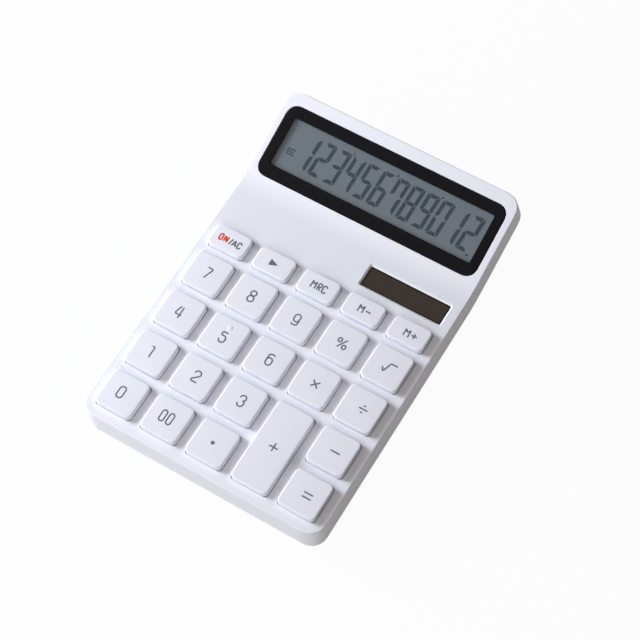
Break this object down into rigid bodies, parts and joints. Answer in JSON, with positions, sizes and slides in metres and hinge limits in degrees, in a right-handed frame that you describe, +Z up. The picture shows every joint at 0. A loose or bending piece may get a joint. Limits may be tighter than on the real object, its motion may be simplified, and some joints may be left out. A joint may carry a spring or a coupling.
{
  "type": "desktop calculator",
  "caption": "White desktop calculator with large square keys, a black-framed display that tilts up behind them, a small solar cell and a sliding battery door underneath.",
  "frame": {"origin": "middle of the footprint at table height, where the feet stand", "axes": "+X to the user's right, +Y away from the user towards the display's back edge, +Z up"},
  "size_m": [0.1186, 0.1796, 0.042],
  "materials": {
    "case_white": "fine satin texture",
    "key_white": "satin, softly rounded edges",
    "frame_black": "smooth satin black",
    "clear_sheet": "clear and polished",
    "lcd_glass": "grey-green, dark segments",
    "solar_glass": "dark brown with fine cell lines",
    "inner_plastic": "plain moulded",
    "keypad_rubber": "matt silicone",
    "foot_rubber": "matt",
    "board_green": "solder mask",
    "chip_resin": "poured resin",
    "cable_film": "amber film",
    "lead_red": "smooth insulation",
    "lead_black": "smooth insulation",
    "battery_skin": "plain grey sleeve",
    "steel": "plated"
  },
  "bodies": {
    "case": {"upper_case": "case_white", "bottom_case": "case_white", "display_bezel": "frame_black", "display_lens": "clear_sheet", "lcd_panel": "lcd_glass", "lcd_holder": "inner_plastic", "lcd_flat_cable": "cable_film", "solar_cell": "solar_glass", "rubber_keypad": "keypad_rubber", "main_board": "board_green", "chip_cover": "chip_resin", "battery_cell": "battery_skin", "battery_contact_plus": "steel", "battery_contact_minus": "steel", "foot_front_left": "foot_rubber", "foot_front_right": "foot_rubber", "foot_back_left": "foot_rubber", "foot_back_right": "foot_rubber", "case_screw_front_left": "steel", "case_screw_middle_right": "steel", "case_screw_middle_left": "steel", "case_screw_back_left": "steel", "case_screw_back_right": "steel", "holder_screw_left": "steel", "holder_screw_right": "steel", "solar_lead_red": "lead_red", "solar_lead_black": "lead_black", "battery_lead_red": "lead_red", "battery_lead_black": "lead_black"},
    "key_0": {"key_0": "key_white"},
    "key_00": {"key_00": "key_white"},
    "key_point": {"key_point": "key_white"},
    "key_1": {"key_1": "key_white"},
    "key_2": {"key_2": "key_white"},
    "key_3": {"key_3": "key_white"},
    "key_4": {"key_4": "key_white"},
    "key_5": {"key_5": "key_white"},
    "key_6": {"key_6": "key_white"},
    "key_multiply": {"key_multiply": "key_white"},
    "key_divide": {"key_divide": "key_white"},
    "key_7": {"key_7": "key_white"},
    "key_8": {"key_8": "key_white"},
    "key_9": {"key_9": "key_white"},
    "key_percent": {"key_percent": "key_white"},
    "key_root": {"key_root": "key_white"},
    "key_plus": {"key_plus": "key_white"},
    "key_equals": {"key_equals": "key_white"},
    "key_minus": {"key_minus": "key_white"},
    "key_on_ac": {"key_on_ac": "key_white"},
    "key_delete": {"key_delete": "key_white"},
    "key_mrc": {"key_mrc": "key_white"},
    "key_m_minus": {"key_m_minus": "key_white"},
    "key_m_plus": {"key_m_plus": "key_white"},
    "battery_door": {"battery_door": "case_white"}
  },
  "joints": [
    {"name": "key_0_press", "type": "slide", "parent": "case", "child": "key_0", "axis": [0, 0.068, -0.9977], "range_m": [0, 0.0015], "stiffness_N_per_m": 300, "springref_m": -0.001, "deforming": ["rubber_keypad"]},
    {"name": "key_00_press", "type": "slide", "parent": "case", "child": "key_00", "axis": [0, 0.068, -0.9977], "range_m": [0, 0.0015], "stiffness_N_per_m": 300, "springref_m": -0.001, "deforming": ["rubber_keypad"]},
    {"name": "key_point_press", "type": "slide", "parent": "case", "child": "key_point", "axis": [0, 0.068, -0.9977], "range_m": [0, 0.0015], "stiffness_N_per_m": 300, "springref_m": -0.001, "deforming": ["rubber_keypad"]},
    {"name": "key_1_press", "type": "slide", "parent": "case", "child": "key_1", "axis": [0, 0.068, -0.9977], "range_m": [0, 0.0015], "stiffness_N_per_m": 300, "springref_m": -0.001, "deforming": ["rubber_keypad"]},
    {"name": "key_2_press", "type": "slide", "parent": "case", "child": "key_2", "axis": [0, 0.068, -0.9977], "range_m": [0, 0.0015], "stiffness_N_per_m": 300, "springref_m": -0.001, "deforming": ["rubber_keypad"]},
    {"name": "key_3_press", "type": "slide", "parent": "case", "child": "key_3", "axis": [0, 0.068, -0.9977], "range_m": [0, 0.0015], "stiffness_N_per_m": 300, "springref_m": -0.001, "deforming": ["rubber_keypad"]},
    {"name": "key_4_press", "type": "slide", "parent": "case", "child": "key_4", "axis": [0, 0.068, -0.9977], "range_m": [0, 0.0015], "stiffness_N_per_m": 300, "springref_m": -0.001, "deforming": ["rubber_keypad"]},
    {"name": "key_5_press", "type": "slide", "parent": "case", "child": "key_5", "axis": [0, 0.068, -0.9977], "range_m": [0, 0.0015], "stiffness_N_per_m": 300, "springref_m": -0.001, "deforming": ["rubber_keypad"]},
    {"name": "key_6_press", "type": "slide", "parent": "case", "child": "key_6", "axis": [0, 0.068, -0.9977], "range_m": [0, 0.0015], "stiffness_N_per_m": 300, "springref_m": -0.001, "deforming": ["rubber_keypad"]},
    {"name": "key_multiply_press", "type": "slide", "parent": "case", "child": "key_multiply", "axis": [0, 0.068, -0.9977], "range_m": [0, 0.0015], "stiffness_N_per_m": 300, "springref_m": -0.001, "deforming": ["rubber_keypad"]},
    {"name": "key_divide_press", "type": "slide", "parent": "case", "child": "key_divide", "axis": [0, 0.068, -0.9977], "range_m": [0, 0.0015], "stiffness_N_per_m": 300, "springref_m": -0.001, "deforming": ["rubber_keypad"]},
    {"name": "key_7_press", "type": "slide", "parent": "case", "child": "key_7", "axis": [0, 0.068, -0.9977], "range_m": [0, 0.0015], "stiffness_N_per_m": 300, "springref_m": -0.001, "deforming": ["rubber_keypad"]},
    {"name": "key_8_press", "type": "slide", "parent": "case", "child": "key_8", "axis": [0, 0.068, -0.9977], "range_m": [0, 0.0015], "stiffness_N_per_m": 300, "springref_m": -0.001, "deforming": ["rubber_keypad"]},
    {"name": "key_9_press", "type": "slide", "parent": "case", "child": "key_9", "axis": [0, 0.068, -0.9977], "range_m": [0, 0.0015], "stiffness_N_per_m": 300, "springref_m": -0.001, "deforming": ["rubber_keypad"]},
    {"name": "key_percent_press", "type": "slide", "parent": "case", "child": "key_percent", "axis": [0, 0.068, -0.9977], "range_m": [0, 0.0015], "stiffness_N_per_m": 300, "springref_m": -0.001, "deforming": ["rubber_keypad"]},
    {"name": "key_root_press", "type": "slide", "parent": "case", "child": "key_root", "axis": [0, 0.068, -0.9977], "range_m": [0, 0.0015], "stiffness_N_per_m": 300, "springref_m": -0.001, "deforming": ["rubber_keypad"]},
    {"name": "key_plus_press", "type": "slide", "parent": "case", "child": "key_plus", "axis": [0, 0.068, -0.9977], "range_m": [0, 0.0015], "stiffness_N_per_m": 300, "springref_m": -0.001, "deforming": ["rubber_keypad"]},
    {"name": "key_equals_press", "type": "slide", "parent": "case", "child": "key_equals", "axis": [0, 0.068, -0.9977], "range_m": [0, 0.0015], "stiffness_N_per_m": 300, "springref_m": -0.001, "deforming": ["rubber_keypad"]},
    {"name": "key_minus_press", "type": "slide", "parent": "case", "child": "key_minus", "axis": [0, 0.068, -0.9977], "range_m": [0, 0.0015], "stiffness_N_per_m": 300, "springref_m": -0.001, "deforming": ["rubber_keypad"]},
    {"name": "key_on_ac_press", "type": "slide", "parent": "case", "child": "key_on_ac", "axis": [0, 0.068, -0.9977], "range_m": [0, 0.0015], "stiffness_N_per_m": 300, "springref_m": -0.001, "deforming": ["rubber_keypad"]},
    {"name": "key_delete_press", "type": "slide", "parent": "case", "child": "key_delete", "axis": [0, 0.068, -0.9977], "range_m": [0, 0.0015], "stiffness_N_per_m": 300, "springref_m": -0.001, "deforming": ["rubber_keypad"]},
    {"name": "key_mrc_press", "type": "slide", "parent": "case", "child": "key_mrc", "axis": [0, 0.068, -0.9977], "range_m": [0, 0.0015], "stiffness_N_per_m": 300, "springref_m": -0.001, "deforming": ["rubber_keypad"]},
    {"name": "key_m_minus_press", "type": "slide", "parent": "case", "child": "key_m_minus", "axis": [0, 0.068, -0.9977], "range_m": [0, 0.0015], "stiffness_N_per_m": 300, "springref_m": -0.001, "deforming": ["rubber_keypad"]},
    {"name": "key_m_plus_press", "type": "slide", "parent": "case", "child": "key_m_plus", "axis": [0, 0.068, -0.9977], "range_m": [0, 0.0015], "stiffness_N_per_m": 300, "springref_m": -0.001, "deforming": ["rubber_keypad"]},
    {"name": "battery_door_slide", "type": "slide", "parent": "case", "child": "battery_door", "axis": [0, 1, 0], "range_m": [0, 0.024]}
  ]
}
